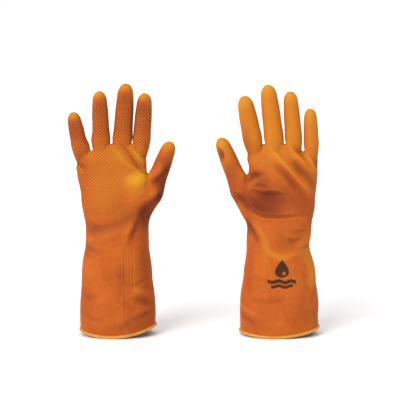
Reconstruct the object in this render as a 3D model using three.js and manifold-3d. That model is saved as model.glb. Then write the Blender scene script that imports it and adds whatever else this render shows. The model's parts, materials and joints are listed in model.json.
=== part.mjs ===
// A pair of household rubber gloves standing upright on their rolled cuff rims.
// Millimetres, +Z up. The origin is on the ground in the middle of the pair.
// Glove 1 turns its palm to -Y and glove 2 turns its back to -Y. Both fit a right hand.
// Each glove is a dipped rubber shell, cut into segments where it folds when a hand bends it.

import * as THREE from 'three';
import { mergeVertices } from 'three/addons/utils/BufferGeometryUtils.js';
import Module from 'manifold-3d';

const wasm = await Module();
wasm.setup();

// Walls and clearances
const RUBBER_WALL = 0.8;
const LINING_GAP = 0.3;
const LINING_WALL = 0.5;
const LINING_START = 10;
const HALF_CUT = 0.2;
const PIECE_GAP = 0.3;
const CUT_OUTSET = 1;

// Rolled rim
const BEAD_HEIGHT = 3.6;
const BEAD_WIDTH = 4.4;
const BEAD_FOOT = 2.4;
const RIM_LIFT = 5;
const RIM_FLAT_SHARE = 0.35;

// How finely the shell is faceted
const BODY_SIDES = 20;
const STALL_SIDES = 10;
const DOME_STEPS = 3;
const SQUARENESS = 2.6;

// Folds. A stall folds about a line that lies a little on the palm side of its middle.
const FOLD_OFFSET = 0.3;
const WRIST = { height: 128, forward: 45, backward: 35, reach: 64, depth: 36 };
const FOLDS = {
  knuckle: { forward: 60, backward: 15 },
  middle: { forward: 80, backward: 0 },
  tip: { forward: 50, backward: 0 },
  thumb_base: { forward: 40, backward: 15 },
  thumb_tip: { forward: 60, backward: 0 },
};

// Cuff and palm sections: height, edge on the little-finger side, edge on the thumb side, half depth
const BODY_1 = [
  [0, -46.4, 46.0, 27.5],
  [38, -46.2, 42.8, 27.0],
  [75, -43.6, 40.0, 26.0],
  [105, -40.2, 36.2, 25.0],
  [128, -38.8, 35.6, 24.5],
  [148, -41.4, 36.8, 22.8],
  [172, -45.5, 38.5, 20.5],
  [195, -48.8, 35.4, 17.5],
  [212, -51.0, 34.6, 14.0],
  [221, -38.0, 34.0, 11.8],
  [230, -27.0, 31.0, 7.5],
];
const BODY_2 = [
  [0, -46.8, 46.4, 27.5],
  [38, -47.0, 45.2, 27.0],
  [75, -43.4, 42.2, 26.0],
  [104, -38.0, 39.4, 25.0],
  [128, -37.6, 38.2, 24.5],
  [148, -41.6, 41.0, 22.8],
  [172, -43.8, 42.0, 20.5],
  [195, -45.2, 38.6, 17.5],
  [212, -46.6, 38.4, 14.0],
  [221, -36.0, 39.0, 11.8],
  [230, -26.0, 35.0, 7.5],
];

// How a stall starts inside the palm: how deep, and its radius at shares of that depth.
// Its end leans towards the palm side, and its fold lines may turn inwards.
const FINGER = { rootDepth: 30, rootRadii: [[0.9, 6], [0.35, 9]], baseY: 0, lean: 3, inward: 0 };
const THUMB = {
  rootDepth: 50,
  rootRadii: [[0.95, 8], [0.78, 14.5], [0.6, 15.5], [0.35, 13], [0.15, 11]],
  baseY: -3,
  lean: 5,
  inward: 15,
};

// Both gloves. A stall has its middle and height where it leaves the palm, those of its end,
// its radius at both, and the distances along it at which it folds.
const GLOVES = [
  {
    name: 'glove_1',
    x: -90.8,
    turn: 0,
    body: BODY_1,
    fingers: {
      index: { base: [27.0, 239], end: [31.6, 294], radii: [9.9, 8.6], folds: [0, 22, 40] },
      middle: { base: [4.4, 240], end: [9.4, 305.4], radii: [10.0, 8.9], folds: [0, 24, 44.5] },
      ring: { base: [-21.0, 240], end: [-22.4, 296.4], radii: [9.6, 8.4], folds: [0, 21.5, 39.5] },
      little: { base: [-46.2, 231], end: [-53.6, 271.4], radii: [8.9, 7.5], folds: [0, 15.5, 28.5] },
    },
    thumb: { base: [52.2, 203], end: [64.9, 235.6], radii: [10.4, 9.2], folds: [0.5, 16.5] },
  },
  {
    name: 'glove_2',
    x: 101.5,
    turn: Math.PI,
    body: BODY_2,
    fingers: {
      index: { base: [31.4, 240], end: [41.6, 290.4], radii: [10.2, 8.8], folds: [0, 21, 37.5] },
      middle: { base: [5.4, 240], end: [13.4, 303.6], radii: [10.2, 9.0], folds: [0, 23.5, 43.5] },
      ring: { base: [-18.4, 240], end: [-13.8, 295.8], radii: [9.8, 8.6], folds: [0, 21.5, 39] },
      little: { base: [-38.8, 234], end: [-37.2, 275.4], radii: [8.9, 7.3], folds: [0, 15.5, 29] },
    },
    thumb: { base: [55.6, 204], end: [70.4, 238.8], radii: [10.6, 9.0], folds: [1, 17] },
  },
];

const materials = {
  rubber: new THREE.MeshStandardMaterial({ color: 0xd9702c, roughness: 0.5, metalness: 0 }),
  bead: new THREE.MeshStandardMaterial({ color: 0xe07e36, roughness: 0.45, metalness: 0 }),
  lining: new THREE.MeshStandardMaterial({ color: 0xe9c9a0, roughness: 0.95, metalness: 0 }),
};

// Solids

// Merges shared corners and drops the triangles that a pole flattens to a line
function toSolid(geometry) {
  const bare = new THREE.BufferGeometry();
  bare.setAttribute('position', geometry.getAttribute('position'));
  bare.setIndex(geometry.getIndex());
  const merged = mergeVertices(bare, 1e-4);
  const index = merged.getIndex().array;
  const triangles = [];
  for (let i = 0; i < index.length; i += 3) {
    const [a, b, c] = index.slice(i, i + 3);
    if (a !== b && b !== c && c !== a) triangles.push(a, b, c);
  }
  const mesh = new wasm.Mesh({
    numProp: 3,
    vertProperties: new Float32Array(merged.getAttribute('position').array),
    triVerts: new Uint32Array(triangles),
  });
  return new wasm.Manifold(mesh);
}

function toGeometry(solid) {
  const mesh = solid.getMesh();
  const geometry = new THREE.BufferGeometry();
  geometry.setAttribute('position', new THREE.BufferAttribute(mesh.vertProperties, 3));
  geometry.setIndex(new THREE.BufferAttribute(mesh.triVerts, 1));
  geometry.computeVertexNormals();
  return geometry;
}

// Joins rings of equal length into one closed skin. With closeEnds each end gets a fan of triangles,
// and without it the last ring joins the first.
function skin(rings, closeEnds) {
  const sides = rings[0].length;
  const points = rings.flat();
  const triangles = [];
  const at = (ring, side) => (ring % rings.length) * sides + (side % sides);
  const spans = closeEnds ? rings.length - 1 : rings.length;
  for (let ring = 0; ring < spans; ring += 1) {
    for (let side = 0; side < sides; side += 1) {
      triangles.push(at(ring, side), at(ring, side + 1), at(ring + 1, side + 1));
      triangles.push(at(ring, side), at(ring + 1, side + 1), at(ring + 1, side));
    }
  }
  if (closeEnds) {
    const last = rings.length - 1;
    const middles = [rings[0], rings[last]].map(middleOf);
    const bottom = points.push(middles[0]) - 1;
    const top = points.push(middles[1]) - 1;
    for (let side = 0; side < sides; side += 1) {
      triangles.push(bottom, at(0, side + 1), at(0, side));
      triangles.push(top, at(last, side), at(last, side + 1));
    }
  }
  const geometry = new THREE.BufferGeometry().setFromPoints(points);
  geometry.setIndex(triangles);
  return geometry;
}

function middleOf(ring) {
  const sum = ring.reduce((total, point) => total.add(point), new THREE.Vector3());
  return sum.divideScalar(ring.length);
}

// Cuff and palm

// A point of a rounded section, inset by the given distance
function sectionPoint([height, low, high, halfDepth], inset, angle) {
  const power = 2 / SQUARENESS;
  const across = Math.sign(Math.cos(angle)) * Math.abs(Math.cos(angle)) ** power;
  const deep = Math.sign(Math.sin(angle)) * Math.abs(Math.sin(angle)) ** power;
  const x = (low + high) / 2 + ((high - low) / 2 - inset) * across;
  return new THREE.Vector3(x, (halfDepth - inset) * deep, height);
}

// The rim is flat at the front and back and rises to both sides
function rimLift(angle) {
  const share = Math.max(0, (Math.abs(Math.cos(angle)) - RIM_FLAT_SHARE) / (1 - RIM_FLAT_SHARE));
  return RIM_LIFT * share ** 2;
}

function bodyRing(section, inset, height, lifted) {
  const ring = [];
  for (let side = 0; side < BODY_SIDES; side += 1) {
    const angle = (2 * Math.PI * side) / BODY_SIDES;
    const point = sectionPoint(section, inset, angle);
    point.z = height + (lifted ? rimLift(angle) : 0);
    ring.push(point);
  }
  return ring;
}

// The cuff and palm as one solid, inset from the outer surface. It starts below the rim.
function bodySolid(glove, inset) {
  const [rim, ...rest] = glove.body;
  const rings = [bodyRing(rim, inset, -BEAD_HEIGHT, true)];
  for (const section of rest) {
    const isTop = section === rest[rest.length - 1];
    rings.push(bodyRing(section, inset, section[0] - (isTop ? inset : 0), false));
  }
  return toSolid(skin(rings, true));
}

// What is cut off below the given height above the rim line
function rimCut(glove, height) {
  const bottom = bodyRing(glove.body[0], -CUT_OUTSET, -4 * BEAD_HEIGHT, false);
  return toSolid(skin([bottom, bodyRing(glove.body[0], -CUT_OUTSET, height, true)], true));
}

// Finger and thumb stalls

// The middle line of a stall, as a start, an end and the directions across it
function stallLine(stall, isThumb) {
  const { lean, baseY, inward } = isThumb ? THUMB : FINGER;
  const base = new THREE.Vector3(stall.base[0], baseY, stall.base[1]);
  const end = new THREE.Vector3(stall.end[0], baseY - lean, stall.end[1]);
  const along = end.clone().sub(base).normalize();
  const turn = THREE.MathUtils.degToRad(inward);
  const palmNormal = new THREE.Vector3(-Math.sin(turn), -Math.cos(turn), 0);
  const hinge = along.clone().cross(palmNormal).normalize();
  const palmar = hinge.clone().cross(along).normalize();
  return { base, end, along, hinge, palmar, length: end.distanceTo(base) };
}

// Half of a stall's lengthwise outline, from the pole inside the palm to the pole at its end
function stallOutline(stall, line, isThumb, inset) {
  const [baseRadius, endRadius] = stall.radii.map((radius) => radius - inset);
  const dome = line.length - stall.radii[1];
  const root = isThumb ? THUMB : FINGER;
  const outline = [new THREE.Vector2(0, inset - root.rootDepth)];
  for (const [share, radius] of root.rootRadii) {
    outline.push(new THREE.Vector2(radius - inset, (inset - root.rootDepth) * share));
  }
  outline.push(new THREE.Vector2(baseRadius, 0));
  outline.push(new THREE.Vector2((baseRadius + endRadius) / 2 + 0.3, dome / 2));
  for (let step = 0; step < DOME_STEPS; step += 1) {
    const angle = (step / DOME_STEPS) * (Math.PI / 2);
    outline.push(new THREE.Vector2(endRadius * Math.cos(angle), dome + endRadius * Math.sin(angle)));
  }
  outline.push(new THREE.Vector2(0, dome + endRadius));
  return outline;
}

function stallSolid(stall, isThumb, inset) {
  const line = stallLine(stall, isThumb);
  const lathe = new THREE.LatheGeometry(stallOutline(stall, line, isThumb, inset), STALL_SIDES);
  const axes = new THREE.Matrix4().makeBasis(line.hinge, line.along, line.palmar);
  axes.setPosition(line.base);
  lathe.applyMatrix4(axes);
  return toSolid(lathe);
}

// Cuts. Each leaves a V on both sides of its hinge line, as wide as the fold needs.

function wedge(origin, along, palmar, fold, depth, reach) {
  const open = (degrees) => HALF_CUT + depth * Math.tan(THREE.MathUtils.degToRad(degrees / 2));
  const outline = new THREE.Shape();
  outline.moveTo(-HALF_CUT, 0);
  outline.lineTo(-open(fold.backward), -depth);
  outline.lineTo(open(fold.backward), -depth);
  outline.lineTo(HALF_CUT, 0);
  outline.lineTo(open(fold.forward), depth);
  outline.lineTo(-open(fold.forward), depth);
  outline.closePath();
  const block = new THREE.ExtrudeGeometry(outline, { depth: 2 * reach, bevelEnabled: false, steps: 1 });
  block.translate(0, 0, -reach);
  const axes = new THREE.Matrix4().makeBasis(along, palmar, along.clone().cross(palmar));
  axes.setPosition(origin);
  block.applyMatrix4(axes);
  return toSolid(block);
}

function wristCut() {
  const origin = new THREE.Vector3(0, 0, WRIST.height);
  const up = new THREE.Vector3(0, 0, 1);
  const palmar = new THREE.Vector3(0, -1, 0);
  return wedge(origin, up, palmar, WRIST, WRIST.depth, WRIST.reach);
}

// Hinge points of a stall, on its middle line moved towards the palm side
function foldPoints(stall, isThumb) {
  const line = stallLine(stall, isThumb);
  return stall.folds.map((distance) => {
    const share = distance / line.length;
    const radius = THREE.MathUtils.lerp(stall.radii[0], stall.radii[1], share);
    const point = line.base.clone().addScaledVector(line.along, distance);
    point.addScaledVector(line.palmar, FOLD_OFFSET * radius);
    return { point, radius, line };
  });
}

function stallCuts(stall, isThumb) {
  const names = isThumb ? ['thumb_base', 'thumb_tip'] : ['knuckle', 'middle', 'tip'];
  return foldPoints(stall, isThumb).map(({ point, radius, line }, i) => {
    const depth = radius * (1 + FOLD_OFFSET) + CUT_OUTSET;
    return wedge(point, line.along, line.palmar, FOLDS[names[i]], depth, radius + CUT_OUTSET);
  });
}

// The rolled rim, a ring with a flat foot
function beadGeometry(glove) {
  const half = BEAD_WIDTH / 2;
  const foot = BEAD_FOOT / 2;
  const shoulder = BEAD_HEIGHT * 0.3;
  const profile = [
    [foot, 0],
    [-foot, 0],
    [-half, shoulder],
    [-half, BEAD_HEIGHT - shoulder],
    [-foot, BEAD_HEIGHT],
    [foot, BEAD_HEIGHT],
    [half, BEAD_HEIGHT - shoulder],
    [half, shoulder],
  ];
  const rings = [];
  for (let side = 0; side < BODY_SIDES; side += 1) {
    const angle = (2 * Math.PI * side) / BODY_SIDES;
    rings.push(
      profile.map(([out, up]) => {
        const point = sectionPoint(glove.body[0], RUBBER_WALL / 2 - out, angle);
        point.z = up + rimLift(angle);
        return point;
      }),
    );
  }
  return skin(rings, false);
}

// One glove

// The piece whose box is centred nearest to a point
function pieceNear(pieces, point) {
  const distance = (piece) => {
    const { min, max } = piece.boundingBox();
    const middle = new THREE.Vector3(...min).add(new THREE.Vector3(...max)).multiplyScalar(0.5);
    return middle.distanceTo(point);
  };
  return pieces.reduce((best, piece) => (distance(piece) < distance(best) ? piece : best));
}

function addMesh(group, name, geometry, material) {
  const mesh = new THREE.Mesh(geometry, material);
  mesh.name = name;
  group.add(mesh);
}

function stallsOf(glove) {
  const fingers = Object.entries(glove.fingers).map(([name, stall]) => ({ name, stall, isThumb: false }));
  return [...fingers, { name: 'thumb', stall: glove.thumb, isThumb: true }];
}

// The glove's hollow form at a given inset: cuff, palm and all five stalls
function formSolid(glove, inset) {
  return stallsOf(glove).reduce(
    (form, { stall, isThumb }) => form.add(stallSolid(stall, isThumb, inset)),
    bodySolid(glove, inset),
  );
}

// A skin of the form between two insets, cut off at a height above the rim line
function shellSolid(glove, outerInset, innerInset, start) {
  return formSolid(glove, outerInset).subtract(formSolid(glove, innerInset)).subtract(rimCut(glove, start));
}

function segmentNames(name, isThumb) {
  const parts = isThumb ? ['base', 'tip'] : ['base', 'middle', 'tip'];
  return parts.map((part) => `${name}_${part}`);
}

function addStallSegments(group, glove, pieces, { name, stall, isThumb }) {
  const line = stallLine(stall, isThumb);
  const ends = [...stall.folds, line.length];
  segmentNames(name, isThumb).forEach((segment, i) => {
    const middle = line.base.clone().addScaledVector(line.along, (ends[i] + ends[i + 1]) / 2);
    addMesh(group, `${glove.name}_${segment}`, toGeometry(pieceNear(pieces, middle)), materials.rubber);
  });
}

function buildGlove(glove) {
  const group = new THREE.Group();
  const cuffStart = BEAD_HEIGHT + PIECE_GAP;
  const liningInset = RUBBER_WALL + LINING_GAP;
  const cuts = stallsOf(glove).flatMap(({ stall, isThumb }) => stallCuts(stall, isThumb));
  cuts.push(wristCut());

  let rubber = shellSolid(glove, 0, RUBBER_WALL, cuffStart);
  let lining = shellSolid(glove, liningInset, liningInset + LINING_WALL, cuffStart + LINING_START);
  for (const cut of cuts) {
    rubber = rubber.subtract(cut);
    lining = lining.subtract(cut);
  }
  const rubberPieces = rubber.decompose();
  const liningPieces = lining.decompose();

  const cuffMiddle = new THREE.Vector3(0, 0, WRIST.height / 2);
  const palmMiddle = new THREE.Vector3(0, 0, (WRIST.height + glove.fingers.middle.base[1]) / 2);
  const addPiece = (name, pieces, point, material) => {
    addMesh(group, `${glove.name}_${name}`, toGeometry(pieceNear(pieces, point)), material);
  };
  addMesh(group, `${glove.name}_cuff_bead`, beadGeometry(glove), materials.bead);
  addPiece('cuff', rubberPieces, cuffMiddle, materials.rubber);
  addPiece('hand', rubberPieces, palmMiddle, materials.rubber);
  addPiece('cuff_lining', liningPieces, cuffMiddle, materials.lining);
  addPiece('hand_lining', liningPieces, palmMiddle, materials.lining);
  for (const stall of stallsOf(glove)) {
    addStallSegments(group, glove, rubberPieces, stall);
  }
  group.position.x = glove.x;
  group.rotation.z = glove.turn;
  return group;
}

const pair = new THREE.Group();
for (const glove of GLOVES) {
  pair.add(buildGlove(glove));
}

export default pair;
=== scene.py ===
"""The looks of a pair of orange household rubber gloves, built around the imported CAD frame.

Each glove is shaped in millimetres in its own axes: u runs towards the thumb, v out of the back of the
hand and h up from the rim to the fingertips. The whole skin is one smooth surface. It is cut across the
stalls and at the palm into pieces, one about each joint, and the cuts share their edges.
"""
import json
import math

import bmesh
import bpy
import numpy as np
from mathutils import Matrix, Vector

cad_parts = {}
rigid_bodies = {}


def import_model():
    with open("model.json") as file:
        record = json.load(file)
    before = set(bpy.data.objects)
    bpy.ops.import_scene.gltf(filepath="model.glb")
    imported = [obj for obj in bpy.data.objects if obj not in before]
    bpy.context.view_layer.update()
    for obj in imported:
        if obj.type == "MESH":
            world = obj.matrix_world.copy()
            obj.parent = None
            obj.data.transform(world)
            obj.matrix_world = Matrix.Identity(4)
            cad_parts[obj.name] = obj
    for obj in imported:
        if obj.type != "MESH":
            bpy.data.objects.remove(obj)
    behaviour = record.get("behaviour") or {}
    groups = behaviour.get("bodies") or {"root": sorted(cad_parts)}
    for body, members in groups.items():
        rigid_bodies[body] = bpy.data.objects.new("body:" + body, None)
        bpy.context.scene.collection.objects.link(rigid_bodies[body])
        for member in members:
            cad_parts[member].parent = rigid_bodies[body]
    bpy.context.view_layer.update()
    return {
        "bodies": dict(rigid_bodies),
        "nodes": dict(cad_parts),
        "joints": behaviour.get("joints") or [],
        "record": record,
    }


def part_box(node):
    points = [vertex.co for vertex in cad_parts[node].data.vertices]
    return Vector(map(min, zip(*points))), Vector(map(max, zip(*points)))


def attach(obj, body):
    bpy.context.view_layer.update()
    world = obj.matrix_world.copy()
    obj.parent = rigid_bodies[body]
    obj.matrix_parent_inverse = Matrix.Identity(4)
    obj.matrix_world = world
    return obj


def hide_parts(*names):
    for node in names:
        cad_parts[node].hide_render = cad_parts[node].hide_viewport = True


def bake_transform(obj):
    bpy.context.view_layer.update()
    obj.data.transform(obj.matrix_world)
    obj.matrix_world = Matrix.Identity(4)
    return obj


FINGERS = ("index", "middle", "ring", "little")
MM = 0.001

# Walls, and the height where the lining starts, in millimetres
RUBBER_WALL = 0.5
LINING_GAP = 0.5
LINING_WALL = 0.4
LINING_START = 12.0

# How finely the skin is made
VOXEL = 1.35
RING_POINTS = 64
RING_STEP = 3.0
STALL_RING_STEP = RING_STEP * 0.7
DOME_RINGS = 8
SMOOTH_ROUNDS = 14
SMOOTH_STEPS = [0.6, -0.62]

# The rolled rim: its size and shape, the height where the skin ends in it, and how far up its dip fades
BEAD_RADIUS = 2.0
BEAD_STEPS = 260
BEAD_SIDES = 18
BEAD_SMOOTHING = 6
BEAD_CREASE = {"depth": 0.3, "angle": 1.25, "width": 0.22}
BEAD_UNEVENNESS = [(0.05, 3, 0.7), (0.03, 7, 0.0), (0.02, 17, 2.0)]
RIM_CUT = 1.4
RIM_FADE = 45.0

# Cuff and palm sections: height, little-finger edge, thumb edge, depth of the palm side,
# depth of the back side, and squareness
BODIES = {
    "glove_1": [
        (-6, -45.9, 44.6, 27.5, 27.5, 2.3),
        (21, -47.4, 44.4, 27.5, 27.5, 2.3),
        (36, -47.4, 44.2, 27.0, 27.0, 2.3),
        (51, -46.3, 43.0, 26.5, 26.5, 2.3),
        (65, -45.4, 41.6, 26.0, 26.0, 2.3),
        (80, -44.1, 40.6, 26.0, 25.5, 2.3),
        (94, -42.6, 39.0, 25.5, 25.0, 2.3),
        (109, -40.0, 37.4, 25.0, 24.5, 2.3),
        (123, -39.3, 36.9, 24.0, 24.0, 2.3),
        (135, -39.6, 37.1, 22.5, 23.5, 2.3),
        (145, -41.2, 39.2, 21.5, 22.8, 2.3),
        (153, -42.6, 43.3, 21.5, 22.0, 2.3),
        (160, -43.9, 48.0, 21.5, 21.3, 2.35),
        (167, -44.5, 53.0, 21.0, 20.5, 2.4),
        (175, -45.1, 50.0, 20.3, 19.8, 2.45),
        (183, -46.2, 41.9, 19.3, 19.0, 2.5),
        (195, -48.3, 35.8, 17.5, 17.5, 2.6),
        (208, -48.6, 35.0, 14.5, 15.0, 2.6),
        (217, -45.2, 34.4, 12.0, 12.5, 2.6),
        (222, -35.0, 33.5, 10.5, 11.0, 2.4),
        (226, -26.0, 30.0, 9.0, 9.5, 2.2),
        (230, -18.0, 24.0, 7.5, 8.0, 2.2),
        (234, -11.0, 17.0, 5.5, 6.0, 2.2),
    ],
    "glove_2": [
        (-6, -50.1, 45.0, 27.5, 27.5, 2.3),
        (21, -50.1, 44.6, 27.5, 27.5, 2.3),
        (36, -50.5, 44.8, 27.0, 27.0, 2.3),
        (51, -49.4, 43.7, 26.5, 26.5, 2.3),
        (65, -47.3, 41.9, 26.0, 26.0, 2.3),
        (80, -45.7, 40.6, 25.5, 26.0, 2.3),
        (94, -42.4, 38.7, 25.0, 25.5, 2.3),
        (109, -38.5, 37.8, 24.5, 25.0, 2.3),
        (123, -40.1, 37.2, 24.0, 24.0, 2.3),
        (131, -40.8, 36.9, 23.5, 22.8, 2.3),
        (138, -41.6, 38.4, 22.8, 21.5, 2.3),
        (145, -42.9, 41.8, 22.3, 20.3, 2.3),
        (153, -44.3, 45.8, 22.0, 19.2, 2.35),
        (160, -45.0, 49.6, 21.6, 18.6, 2.4),
        (167, -45.2, 53.5, 21.0, 18.4, 2.4),
        (175, -45.8, 51.5, 20.3, 18.6, 2.45),
        (183, -46.2, 43.7, 19.3, 18.8, 2.5),
        (195, -46.7, 36.4, 17.5, 18.6, 2.6),
        (208, -46.8, 35.8, 14.5, 16.8, 2.6),
        (217, -45.0, 37.6, 12.0, 13.5, 2.6),
        (221, -35.0, 36.0, 10.5, 11.5, 2.4),
        (225, -26.0, 30.0, 9.0, 9.5, 2.2),
        (229, -19.0, 22.0, 7.5, 8.0, 2.2),
        (233, -14.0, 16.0, 5.5, 6.0, 2.2),
    ],
}

# Stall outlines: shares of the way from the knuckle to where the rounded end starts, with the radius
# there as a share of the CAD radius. Shares below 0 lie inside the palm, in lengths of the root.
FINGER_OUTLINE = [
    (-1.0, 0.6), (-0.5, 0.92), (-0.2, 1.08), (0.0, 1.16),
    (0.12, 1.14), (0.35, 1.09), (0.7, 1.05), (1.0, 0.94),
]
THUMB_OUTLINE = [(-1.0, 1.1), (-0.8, 1.42), (-0.5, 1.3), (-0.25, 1.14), (0.0, 1.06), (0.5, 1.01), (1.0, 0.9)]
FINGER_ROOT = 30.0
THUMB_ROOT = 42.0
FOLD_OFFSET = 0.3
END_LENGTH = 1.4
STALL_INSET = 0.4
STALL_REACH = 1.6

# Stalls are joined to the palm thinner than they are, so that neighbours don't merge, and then swell
THINNING = 0.18
THINNING_FADE = (-18.0, -8.0)

# Finger roots spread sideways until only a slit is left between neighbours: where that starts and is
# complete along the finger, and half the slit
WEB = {"top": 9.0, "foot": -5.0, "half_slit": 0.6}

# How much fuller a stall is than the CAD stall, and how far it sits to the thumb side
STALL_FIT = {
    "glove_1": {"index": (1.0, 1.8), "middle": (1.06, 1.6), "ring": (1.0, 1.3), "little": (1.03, 0.5)},
    "glove_2": {"index": (1.05, -0.3), "middle": (1.05, -0.3), "ring": (0.965, 0.1), "little": (0.96, -0.8)},
}
THUMB_FIT = (1.0, 0.0)

# How the rim dips: where it is lowest, and how many millimetres squared beside that raise it by one
RIM_DIP = {"glove_1": (-10.0, 277.0), "glove_2": (8.0, 428.0)}

# Folds in the rubber, seen on the palm or on the back: height (negative is a valley), half width,
# and the points (u, h) that the fold runs through
PALM_FOLDS = [
    (1.8, 3.6, [(-7, 234), (9, 213), (26, 202), (34, 197)]),
    (-2.4, 2.5, [(3, 236), (17, 219), (27, 204), (35, 197)]),
    (2.5, 3.4, [(16, 234), (22, 223), (33, 208)]),
    (-1.0, 2.0, [(30, 225), (35, 214)]),
    (-2.8, 2.6, [(-52, 213), (-44, 209), (-36, 205)]),
    (1.8, 2.4, [(-51, 206), (-43, 203), (-38, 199)]),
    (-1.2, 2.0, [(-47, 219), (-40, 214)]),
    (1.6, 4.0, [(-33, 226), (-27, 216)]),
    (-3.0, 4.0, [(37, 187), (46, 189), (53, 194), (60, 205)]),
    (1.3, 4.0, [(38, 193), (48, 200), (56, 206)]),
    (-3.2, 5.0, [(29, 145), (35, 155), (42, 162), (50, 167), (58, 172)]),
    (1.4, 4.0, [(38, 171), (46, 176), (54, 184)]),
    (-2.0, 5.5, [(-40, 134), (-15, 135), (6, 141), (18, 147)]),
    (1.6, 5.0, [(-34, 122), (-12, 124), (8, 129), (16, 133)]),
    (-2.4, 3.6, [(26, 143), (22, 131), (16, 117)]),
    (1.2, 3.5, [(18, 140), (13, 128), (9, 116)]),
    (-1.8, 3.8, [(-42, 113), (-31, 107), (-18, 103)]),
    (1.2, 3.4, [(-41, 122), (-28, 117)]),
    (-1.1, 3.4, [(-41, 101), (-27, 97)]),
    (-0.5, 1.3, [(9.4, 62), (9.0, 36), (8.6, 12)]),
    (-2.0, 4.2, [(22, 49), (33, 44), (44, 41)]),
    (1.7, 4.0, [(18, 60), (30, 56), (42, 52)]),
    (-1.7, 4.6, [(8, 14), (20, 21), (34, 25), (44, 30)]),
    (1.3, 4.0, [(16, 37), (30, 35), (43, 34)]),
    (-1.3, 3.0, [(14, 62), (24, 66), (36, 72)]),
    (-1.0, 3.6, [(6, 44), (16, 38), (26, 36)]),
    (-1.2, 3.4, [(-43, 28), (-28, 22), (-13, 25)]),
    (-1.3, 3.6, [(-44, 54), (-34, 50), (-26, 52)]),
]
BACK_FOLDS = [
    (2.8, 3.4, [(15, 236), (6, 224), (-4, 213), (-16, 200), (-28, 186), (-40, 174)]),
    (2.6, 2.8, [(-9, 237), (-18, 223), (-26, 215), (-34, 207)]),
    (2.2, 2.0, [(-31, 228), (-37, 216), (-41, 207), (-46, 196)]),
    (-2.7, 4.2, [(4, 210), (-9, 198), (-18, 187), (-34, 169)]),
    (-3.2, 4.2, [(-17, 214), (-27, 203), (-36, 195), (-42, 184)]),
    (-1.4, 2.4, [(-17, 231), (-26, 223), (-33, 216)]),
    (-1.6, 2.0, [(-44, 214), (-46, 203)]),
    (-3.8, 2.8, [(37, 190), (31, 196), (21, 198)]),
    (-1.8, 2.0, [(29, 184), (21, 185), (14, 183)]),
    (1.3, 2.2, [(28, 181), (16, 179), (4, 180), (-8, 175)]),
    (-2.3, 2.6, [(33, 179), (20, 175), (8, 173), (-3, 174)]),
    (-3.4, 5.0, [(40, 172), (28, 160), (14, 154), (-4, 154)]),
    (-1.9, 1.8, [(38, 161), (24, 150.5), (8, 148), (-12, 148), (-30, 150)]),
    (1.7, 2.0, [(37, 156), (23, 146), (8, 144), (-12, 144.5), (-26, 146)]),
    (-2.8, 2.8, [(37, 139), (31, 128), (24, 115)]),
    (2.0, 4.6, [(28, 140), (19, 125), (11, 110)]),
    (1.8, 4.2, [(56, 175), (45, 157), (36, 140)]),
    (-2.8, 3.0, [(54, 176), (42, 165), (33, 154)]),
    (2.1, 5.0, [(26, 117), (6, 102), (-8, 99), (-33, 109)]),
    (-1.8, 2.6, [(-11, 121), (-20, 118.5), (-29, 121)]),
    (-1.2, 3.0, [(-13, 132), (-26, 129), (-39, 131)]),
    (-2.0, 2.4, [(-46, 113), (-37, 112), (-27, 107)]),
    (-1.1, 5.0, [(-30, 104), (-33, 86), (-34, 62), (-30, 42), (-28, 26)]),
    (1.5, 4.4, [(-40, 98), (-42, 80), (-43, 58)]),
    (-2.0, 3.2, [(48, 30), (40, 22), (28, 16)]),
    (1.2, 3.2, [(44, 38), (32, 30), (18, 26)]),
    (-3.4, 2.4, [(74, 228), (69, 221), (67, 213)]),
    (-1.0, 3.2, [(38, 48), (14, 45), (-8, 47)]),
    (-1.1, 3.6, [(30, 72), (12, 68), (-2, 70)]),
]

# Broad bulges and hollows: height, middle (u, h) and half widths along u and h
PALM_HOLLOWS = [
    (3.6, 24, 191, 13, 10),
    (-2.5, 54, 176, 9, 14),
    (-2.6, 34, 152, 10, 12),
    (1.2, -12, 180, 22, 24),
    (-1.6, -8, 126, 28, 9),
    (-1.3, 6, 80, 5, 12),
    (-1.3, 33, 92, 8, 28),
    (-2.0, 36, 46, 8, 26),
]
BACK_HOLLOWS = [
    (-5.2, 12, 167, 22, 12),
    (-1.7, -26, 162, 18, 12),
    (-1.4, -22, 196, 10, 16),
    (-1.5, -12, 118, 18, 9),
    (1.8, 30, 215, 9, 16),
    (1.2, 0, 62, 26, 20),
    (-1.4, 34, 78, 8, 20),
]

# Painted highlight (above 0) and painted shade (below 0) in the rubber's colour, beyond what the folds give:
# amount, middle (u, h) and half widths along u and h
PALM_TONES = [
    (1.3, 31, 195, 7, 8),
    (0.8, 38, 194, 5, 8),
    (2.1, -4, 198, 30, 28),
    (2.2, 4, 222, 24, 12),
    (1.5, 27, 219, 8, 10),
    (1.2, -28, 222, 9, 8),
    (-1.6, -48, 219, 6, 9),
    (-4.4, -59, 248, 6, 18),
    (-4.2, 52, 189, 10, 9),
    (-8.0, 63, 201, 7, 8),
    (0.6, 42, 178, 7, 7),
    (-5.0, 52, 165, 7, 7),
    (-4.8, 37, 149, 9, 12),
    (-4.8, 58, 180, 7, 12),
    (-2.6, 29, 139, 7, 9),
    (-1.8, 40, 136, 6, 8),
    (2.2, 56, 219, 12, 14),
    (-2.0, 31, 276, 6, 6),
    (1.4, 42, 248, 6, 12),
    (1.2, -13, 258, 4, 16),
    (-1.6, -2, 252, 4, 16),
    (0.6, -8, 116, 14, 20),
    (-2.0, -45, 180, 8, 44),
    (-0.9, -40, 90, 8, 46),
    (-0.8, -46, 26, 7, 30),
    (-1.8, 22, 12, 32, 8),
    (-0.8, 18, 34, 9, 8),
]
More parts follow.
